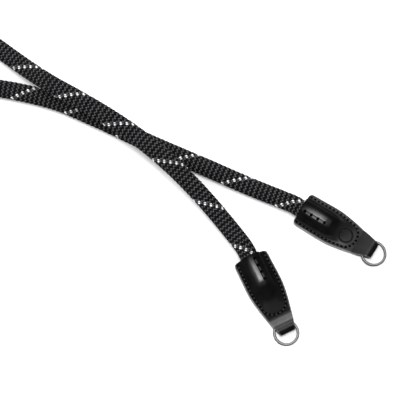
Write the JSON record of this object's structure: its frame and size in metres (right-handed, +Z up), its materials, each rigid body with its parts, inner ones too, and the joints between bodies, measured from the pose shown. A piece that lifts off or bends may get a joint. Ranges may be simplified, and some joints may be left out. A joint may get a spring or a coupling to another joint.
{
  "type": "rope camera strap",
  "caption": "Braided rope camera strap laid in a crossed loop, with a folded leather tab and a small split ring at each end.",
  "frame": {"origin": "on the surface that the strap lies on, below the middle of the box of its two end fittings", "axes": "+Z up from that surface, +X along the strap towards its rings, +Y towards the end that lies underneath where the rope crosses"},
  "size_m": [0.4873, 0.0859, 0.0162],
  "materials": {
    "braided_rope": "dull woven braid with one silver-white tracer",
    "black_leather": "smooth, waxed, softly glossy",
    "ring_steel": "dark nickelled wire, polished"
  },
  "bodies": {
    "root": {"rope": "braided_rope", "leather_tab_a": "black_leather", "leather_tab_b": "black_leather", "ring_a": "ring_steel", "ring_b": "ring_steel"}
  },
  "joints": []
}
